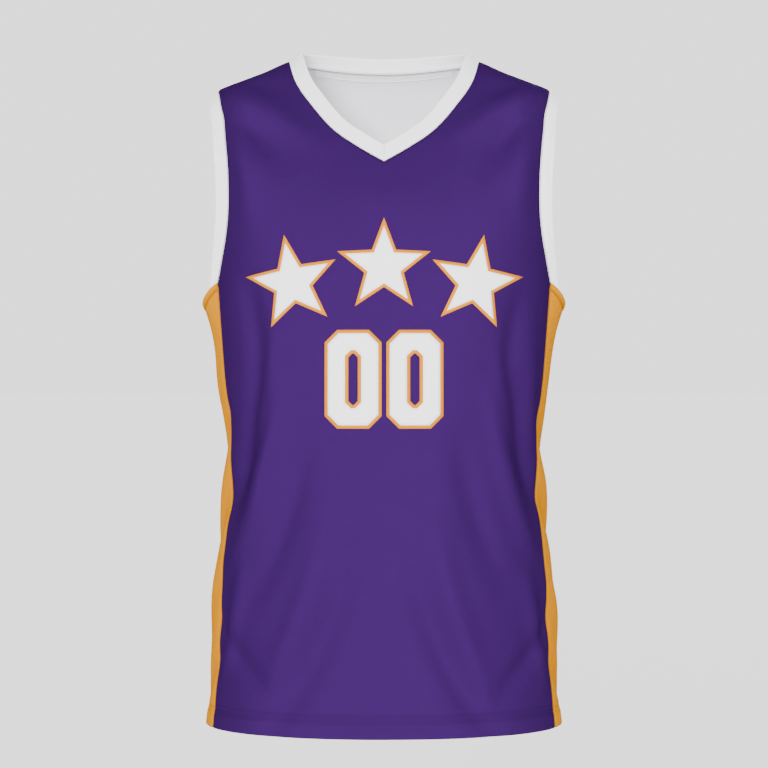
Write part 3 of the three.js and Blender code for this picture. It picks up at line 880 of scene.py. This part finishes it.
def zero_patches(centre, width, height, stroke, grow):
    """The eight patches between a nought's two outlines."""
    out, hole = zero_rings(centre, width, height, stroke, grow)
    return [(out[k], out[(k + 1) % 8], hole[(k + 1) % 8], hole[k]) for k in range(8)]


def star_outline(centre, radius, tilt):
    """Ten corners of a five-pointed star, tips and notches in turn, turned by tilt in radians."""
    angle = tilt + math.pi / 2 + np.arange(10) * math.pi / 5
    reach = radius * np.where(np.arange(10) % 2 == 0, 1.0, 0.42)
    return np.array(centre) + np.stack([np.cos(angle), np.sin(angle)], -1) * reach[:, None]


def star_patches(centre, radius, tilt):
    """The five kites of a star, each from its middle to a tip."""
    rim = star_outline(centre, radius, tilt)
    return [(centre, rim[k - 1], rim[k], rim[(k + 1) % 10]) for k in range(0, 10, 2)]


def add_twill(name, face, patches, lift, wall, material):
    """Flat shapes of twill laid on a sheet, lifted off it, with their own thickness inwards."""
    flat, quads = quad_patches(patches, 5.0)
    points, normals = lay_on(face, flat, lift)
    a, b, d = points[quads[:, 0]], points[quads[:, 1]], points[quads[:, 3]]
    facing = (np.cross(b - a, d - a) * normals[quads[:, 0]]).sum(-1)
    quads = np.where(facing[:, None] < 0, quads[:, ::-1], quads)
    obj = add_mesh(name, points, quads, flat * MM, np.zeros(len(quads)), [material_named(material)],
                   closed=False)
    return add_solidify(obj, wall)


def outline_stitches(face, outlines, lift, pitch):
    """Rows of stitches just inside closed outlines on a sheet."""
    rows = []
    for corners in outlines:
        ring = np.concatenate([corners, corners[:1]])
        t = np.linspace(0, len(corners), len(corners) * 24 + 1)
        flat = np.stack([np.interp(t, np.arange(len(ring)), ring[:, k]) for k in (0, 1)], -1)
        points, normals = lay_on(face, flat, lift)
        rows.append(stitch_row(points, normals, pitch, 0.75, 0.45, 0))
    return rows


# Settings

class JerseySizes(bpy.types.PropertyGroup):
    wall: bpy.props.FloatProperty(
        name="Knit thickness", description="Thickness of the single knit, in millimetres",
        default=1.0, min=0.3, max=3.0)
    band_wall: bpy.props.FloatProperty(
        name="Band thickness", description="Thickness of the doubled rib, in millimetres",
        default=2.3, min=0.5, max=5.0)
    neck_band_width: bpy.props.FloatProperty(
        name="Neck band width", description="Width of the neck band, in millimetres",
        default=17.0, min=5.0, max=40.0)
    seam_depth: bpy.props.FloatProperty(
        name="Seam depth", description="How deep the cloth sinks at a seam, in millimetres",
        default=1.1, min=0.0, max=3.0)
    stitch_pitch: bpy.props.FloatProperty(
        name="Stitch pitch", description="Length of one stitch with its gap, in millimetres",
        default=3.2, min=1.0, max=8.0)


class JerseyColours(bpy.types.PropertyGroup):
    purple: bpy.props.FloatVectorProperty(
        name="Body", description="Colour of the body panels", subtype="COLOR", size=4,
        default=(0.0237, 0.0055, 0.0555, 1), min=0, max=1)
    gold: bpy.props.FloatVectorProperty(
        name="Sides", description="Colour of the side panels", subtype="COLOR", size=4,
        default=(0.40, 0.15, 0.0, 1), min=0, max=1)
    white: bpy.props.FloatVectorProperty(
        name="Bands", description="Colour of the bands and numbers", subtype="COLOR", size=4,
        default=(0.76, 0.75, 0.785, 1), min=0, max=1)
    # The inner face's white is greyer than the bands': painted shade for the inside of the body.
    inside: bpy.props.FloatVectorProperty(
        name="Inside", description="Colour of the cloth's inner face", subtype="COLOR", size=4,
        default=(0.70, 0.69, 0.73, 1), min=0, max=1)
    outline: bpy.props.FloatVectorProperty(
        name="Outline", description="Colour of the number outlines", subtype="COLOR", size=4,
        default=(0.48, 0.165, 0.0, 1), min=0, max=1)
    floor: bpy.props.FloatVectorProperty(
        name="Floor", description="Colour of the studio floor", subtype="COLOR", size=4,
        default=(0.95, 0.95, 0.95, 1), min=0, max=1)


# Pieces

def near_seams(points, width, top):
    """How near each point of a grid lies to its sewn edges: a bell off the sides and, for top, the
    top."""
    along = run_lengths(points, 1)
    near = np.maximum(bell(along, width), bell(along[:, -1:] - along, width))
    if top:
        up = run_lengths(points, 0)
        near = np.maximum(near, bell(up[-1:] - up, width))
    return near


def hem_relief(points):
    """The turned hem's relief: proud of the cloth below its two rows of stitches, sunk at them."""
    up = run_lengths(points, 0)
    rows = sum(bell(up - height, 1.5) for height in HEM_ROWS)
    return 0.5 * (1 - smoothstep(up, 14, 20)) - 0.55 * rows


def panel_painted_shade(points):
    """Painted shade on a panel, with the seams' darker thread: how much darker it is along its side seams,
    and in the hem's rows of stitches.
    """
    up = run_lengths(points, 0)
    rows = sum(bell(up - height, 1.4) for height in HEM_ROWS)
    return np.maximum(SEAM_PAINTED_SHADE * near_seams(points, 1.7, False), HEM_PAINTED_SHADE * rows)


def body_panel(face):
    """The front or back panel: folds, turned hem and sunk seams on its grid, and its hem's stitches."""
    sizes = bpy.context.scene.jersey_sizes
    word = side_name(face)
    points, normals = panel_grid(face, *PANEL_GRID)
    relief = hem_relief(points) - sizes.seam_depth * near_seams(points, 2.5, True)
    obj = cloth_sheet(
        f"{word}_cloth", points + normals * relief[..., None], normals, real_uv(points), sizes.wall,
        [material_named("purple_cloth"), material_named("inside_cloth")], panel_painted_shade(points),
    )
    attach(obj, "root")
    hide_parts(f"{word}_panel")
    hem_stitches(f"{word}_hem_stitches", *panel_grid(face, *HEM_GRID), "purple")


def line_across(points, height):
    """The line that crosses a grid's columns at a height along them, between its rows."""
    up = run_lengths(points, 0)
    above = (up >= height).argmax(0)
    column = np.arange(points.shape[1])
    low, high = up[above - 1, column], up[above, column]
    share = ((height - low) / (high - low))[:, None]
    return points[above - 1, column] * (1 - share) + points[above, column] * share


def hem_stitches(name, points, normals, colour):
    """Two rows of stitches above a panel's hem."""
    pitch = bpy.context.scene.jersey_sizes.stitch_pitch
    lines = [line_across(points, height) for height in HEM_ROWS]
    rows = [stitch_row(line, normals[2], pitch, 0.8, 0.5, -0.35) for line in lines]
    obj = add_stitches(name, rows, f"{colour}_thread")
    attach(obj, "root")


class JERSEY_OT_front_panel(bpy.types.Operator):
    """Makes the front panel and the stitches of its hem"""

    bl_idname = "jersey.front_panel"
    bl_label = "Front panel"

    def execute(self, context):
        body_panel(FRONT)
        return {"FINISHED"}


class JERSEY_OT_back_panel(bpy.types.Operator):
    """Makes the back panel and the stitches of its hem"""

    bl_idname = "jersey.back_panel"
    bl_label = "Back panel"

    def execute(self, context):
        body_panel(BACK)
        return {"FINISHED"}


class JERSEY_OT_side_panels(bpy.types.Operator):
    """Makes the two side panels with their turned top edges and stitches"""

    bl_idname = "jersey.side_panels"
    bl_label = "Side panels"

    def execute(self, context):
        sizes = context.scene.jersey_sizes
        for side, word in ((1, "left"), (-1, "right")):
            points, normals = flank_grid(side, *FLANK_GRID)
            up = run_lengths(points, 0)
            down = up[-1:] - up
            fold = 0.5 * (1 - smoothstep(down, 4.5, 6.5)) - 0.6 * bell(down - TURNED_EDGE, 1.1)
            relief = hem_relief(points) + fold - sizes.seam_depth * near_seams(points, 2.5, False)
            # Painted shade in the crease under the turned top edge, added to the painted shade of the
            # seams.
            shade = np.maximum(panel_painted_shade(points), SEAM_PAINTED_SHADE * bell(down - TURNED_EDGE, 1.5))
            obj = cloth_sheet(
                f"side_cloth_{word}", points + normals * relief[..., None], normals, real_uv(points),
                sizes.wall, [material_named("gold_cloth"), material_named("inside_cloth")], shade,
            )
            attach(obj, "root")
            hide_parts(f"side_panel_{word}")
            hem_stitches(f"side_hem_stitches_{word}", points, normals, "gold")
        return {"FINISHED"}


class JERSEY_OT_neck_band(bpy.types.Operator):
    """Makes the rib band round the neck, mitred at the V"""

    bl_idname = "jersey.neck_band"
    bl_label = "Neck band"

    def execute(self, context):
        sizes = context.scene.jersey_sizes
        points, normals, at = neck_edge(*NECK_STATIONS)
        inside = np.array([0.0, -30.0, 40.0])
        ways = ways_out(points, normals, True, inside)
        leans = read(NECK_LEAN, "at", "lean", at)
        widths = np.full(len(points), sizes.neck_band_width)
        obj = rib_band("neck_rib", points, normals, ways, leans, widths, sizes.band_wall, True)
        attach(obj, "root")
        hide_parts("neck_band")
        return {"FINISHED"}


class JERSEY_OT_armhole_bands(bpy.types.Operator):
    """Makes the rib bands round the two armholes"""

    bl_idname = "jersey.armhole_bands"
    bl_label = "Armhole bands"

    def execute(self, context):
        sizes = context.scene.jersey_sizes
        for side, word in ((1, "left"), (-1, "right")):
            points, normals = armhole_edge(side, ARMHOLE_STATIONS)
            inside = np.array([side * (SHOULDER_TIP_X + 60), 0.0, CHEST_Z / 2])
            ways = ways_out(points, normals, False, inside)
            at = np.linspace(0, 2, len(points))
            leans = read(ARMHOLE_BAND, "at", "lean", at)
            widths = read(ARMHOLE_BAND, "at", "width", at)
            for corner, across in ((0, -0.8), (-1, 0.8)):
                level = CHEST_Z - UNDERARM_DIP * (1 - across**2)
                end, _ = on_flank(side, np.array(across), np.array(level))
                near = 1 - smoothstep(np.abs(at - at[corner]), 0, 0.18)
                way = unit(end - points[corner])
                ways = ways * (1 - near[:, None]) + way * near[:, None]
                leans = leans * (1 - near)
            obj = rib_band(
                f"armhole_rib_{word}", points, normals, ways, leans, widths, sizes.band_wall, False)
            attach(obj, "root")
            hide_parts(f"armhole_band_{word}")
        return {"FINISHED"}


class JERSEY_OT_neck_tape(bpy.types.Operator):
    """Makes the tape over the back neck seam inside"""

    bl_idname = "jersey.neck_tape"
    bl_label = "Neck tape"

    def execute(self, context):
        sizes = context.scene.jersey_sizes
        x = np.linspace(-TAPE_HALF_LENGTH, TAPE_HALF_LENGTH, 81)[None]
        edge = climb_at(BACK, x, read(NECKLINE, "x", "back", np.abs(x)))
        step = 0.01
        reach = np.linalg.norm(sheet_point(BACK, x, edge) - sheet_point(BACK, x, edge - step), axis=-1)
        below = np.linspace(10.5, 0.8, 9)[:, None]
        points, normals = on_sheet(BACK, x, edge - step * below / reach)
        points = points - normals * (sizes.wall + 0.5)
        obj = cloth_sheet("neck_tape_cloth", points, normals, real_uv(points), 0.6,
                          [material_named("rib_cloth")])
        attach(obj, "root")
        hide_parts("neck_tape")
        return {"FINISHED"}


# The front's stars: places of their middles, and their tilts in degrees.
STARS = table("x z tilt", (-97, -238, 10), (0, -221, 0), (97, -238, -10))
GOLD_STAR, WHITE_STAR, STITCHED_STAR = 52, 43, 39  # radii

# The numbers' places and sizes: stroke is a figure's own, edge the gold round it, gap between figures.
NUMBERS = {
    FRONT: dict(centre=(0, -340), width=125, height=104, stroke=18, gap=12, edge=3.5),
    BACK: dict(centre=(0, -252), width=259, height=215, stroke=34, gap=20, edge=6.5),
}


def add_motif(name, face, gold, white, outlines):
    """White twill on wider gold twill, with stitches just inside the white one's edges."""
    stitches = outline_stitches(face, outlines, 1.2, 2.6)
    made = (
        add_twill(f"{name}_gold", face, gold, 0.75, 0.55, "gold_twill"),
        add_twill(f"{name}_white", face, white, 1.2, 0.4, "white_twill"),
        add_stitches(f"{name}_stitches", stitches, "white_thread"),
    )
    for obj, slot in zip(made, ("gold_knit", "white_rib", "white_rib")):
        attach(obj, "root")


def add_number(face, centre, width, height, stroke, gap, edge):
    """A plain number of two block noughts."""
    one = (width - 2 * edge - gap) / 2
    tall = height - 2 * edge
    gold, white, outlines = [], [], []
    for side in (-1, 1):
        place = (centre[0] + side * (one + gap) / 2, centre[1])
        gold += zero_patches(place, one, tall, stroke, edge)
        white += zero_patches(place, one, tall, stroke, 0.0)
        outlines += zero_rings(place, one, tall, stroke, -1.2)
    add_motif(f"{side_name(face)}_number", face, gold, white, outlines)


class JERSEY_OT_front_motifs(bpy.types.Operator):
    """Makes the arch of stars and the plain number on the front"""

    bl_idname = "jersey.front_motifs"
    bl_label = "Front stars and number"

    def execute(self, context):
        add_number(FRONT, **NUMBERS[FRONT])
        gold, white, outlines = [], [], []
        for x, z, tilt in zip(STARS["x"], STARS["z"], np.radians(STARS["tilt"])):
            gold += star_patches((x, z), GOLD_STAR, tilt)
            white += star_patches((x, z), WHITE_STAR, tilt)
            outlines.append(star_outline((x, z), STITCHED_STAR, tilt))
        add_motif("front_stars", FRONT, gold, white, outlines)
        return {"FINISHED"}


class JERSEY_OT_back_number(bpy.types.Operator):
    """Makes the plain number on the back"""

    bl_idname = "jersey.back_number"
    bl_label = "Back number"

    def execute(self, context):
        add_number(BACK, **NUMBERS[BACK])
        return {"FINISHED"}


class JERSEY_OT_declare_cloth(bpy.types.Operator):
    """Takes no step: it leaves the cloth pieces as they are"""

    bl_idname = "jersey.declare_cloth"
    bl_label = "State the cloth"

    def execute(self, context):
        return {"FINISHED"}


# Stage

# The suns: the way to each from the jersey, its strength, and its width in degrees.
SUNS = {
    "key": ((-0.22, -1.0, 0.16), 8.2, 20),
    "back": ((0.2, 1.0, 0.16), 7.0, 30),
    "side": ((1.0, -0.75, 0.5), 1.8, 20),
    "top": ((0.1, 0.75, 1.6), 2.4, 40),
}
SKY_STRENGTH = (1.96, 0.3)  # at the horizon and overhead
SKY_CHANGE = (0.18, 0.4)  # heights between which it goes from one to the other, as sines
FLOOR_Z = -1.35  # metres, as are the rest
FLOOR_HALF_SIDE = 200.0
CAMERA_DISTANCE = 2.6
CAMERA_Z = -0.345
CAMERA_LENS = 109  # millimetres


def add_sun(name, place, strength, spread):
    """A soft sun shining from a direction, its width in degrees."""
    data = bpy.data.lights.new(name, "SUN")
    data.energy = strength
    data.angle = math.radians(spread)
    lamp = bpy.data.objects.new(name, data)
    lamp.rotation_euler = Vector(place).to_track_quat("Z", "Y").to_euler()
    bpy.context.scene.collection.objects.link(lamp)


def studio_world():
    """White light from all round, its strength falling from the horizon upwards."""
    world = bpy.data.worlds.new("studio")
    world.use_nodes = True
    tree = world.node_tree
    way = tree.nodes.new("ShaderNodeTexCoord")
    split = tree.nodes.new("ShaderNodeSeparateXYZ")
    tree.links.new(way.outputs["Generated"], split.inputs[0])
    spread = tree.nodes.new("ShaderNodeMapRange")
    for name, value in zip(("From Min", "From Max", "To Min", "To Max"), SKY_CHANGE + SKY_STRENGTH):
        spread.inputs[name].default_value = value
    tree.links.new(split.outputs[2], spread.inputs["Value"])
    background = tree.nodes["Background"]
    background.inputs["Color"].default_value = (1, 1, 1, 1)
    tree.links.new(spread.outputs[0], background.inputs["Strength"])
    return world


class JERSEY_OT_stage(bpy.types.Operator):
    """Makes the floor, the lights and the camera"""

    bl_idname = "jersey.stage"
    bl_label = "Stage"

    def execute(self, context):
        scene = context.scene
        half = FLOOR_HALF_SIDE
        corners = [(x, y, FLOOR_Z) for x, y in ((-half, -half), (half, -half), (half, half), (-half, half))]
        mesh = bpy.data.meshes.new("floor")
        mesh.from_pydata(corners, [], [(0, 1, 2, 3)])
        material, tree, shader = new_material("floor_paint")
        shader.inputs["Base Color"].default_value = scene.jersey_colours.floor
        shader.inputs["Roughness"].default_value = 1.0
        shader.inputs["Specular IOR Level"].default_value = 0.0
        mesh.materials.append(material)
        floor = bpy.data.objects.new("floor", mesh)
        scene.collection.objects.link(floor)

        scene.world = studio_world()
        for name, (way, strength, spread) in SUNS.items():
            add_sun(name, way, strength, spread)

        data = bpy.data.cameras.new("camera")
        data.lens = CAMERA_LENS
        data.sensor_width = 36
        camera = bpy.data.objects.new("camera", data)
        camera.location = (0, -CAMERA_DISTANCE, CAMERA_Z)
        camera.rotation_euler = (math.pi / 2, 0, 0)
        scene.collection.objects.link(camera)
        scene.camera = camera
        return {"FINISHED"}


OPERATORS = (
    JERSEY_OT_front_panel,
    JERSEY_OT_back_panel,
    JERSEY_OT_side_panels,
    JERSEY_OT_neck_band,
    JERSEY_OT_armhole_bands,
    JERSEY_OT_neck_tape,
    JERSEY_OT_front_motifs,
    JERSEY_OT_back_number,
    JERSEY_OT_declare_cloth,
    JERSEY_OT_stage,
)


class JERSEY_PT_panel(bpy.types.Panel):
    """Lists the steps that make the jersey"""

    bl_idname = "JERSEY_PT_panel"
    bl_label = "Jersey"
    bl_space_type = "VIEW_3D"
    bl_region_type = "UI"
    bl_category = "Jersey"

    def draw(self, context):
        for operator in OPERATORS:
            self.layout.operator(operator.bl_idname)
        for settings in (context.scene.jersey_sizes, context.scene.jersey_colours):
            for name in settings.__annotations__:
                self.layout.prop(settings, name)


CLASSES = (JerseySizes, JerseyColours, *OPERATORS, JERSEY_PT_panel)


def register():
    for made in CLASSES:
        bpy.utils.register_class(made)
    bpy.types.Scene.jersey_sizes = bpy.props.PointerProperty(type=JerseySizes)
    bpy.types.Scene.jersey_colours = bpy.props.PointerProperty(type=JerseyColours)


def unregister():
    del bpy.types.Scene.jersey_sizes
    del bpy.types.Scene.jersey_colours
    for made in reversed(CLASSES):
        bpy.utils.unregister_class(made)


def main():
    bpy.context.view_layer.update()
    register()
    for operator in OPERATORS:
        module, name = operator.bl_idname.split(".")
        done = getattr(getattr(bpy.ops, module), name)()
        if done != {"FINISHED"}:
            raise RuntimeError(f"{operator.bl_idname} did not finish")


if __name__ == "__main__":
    main()
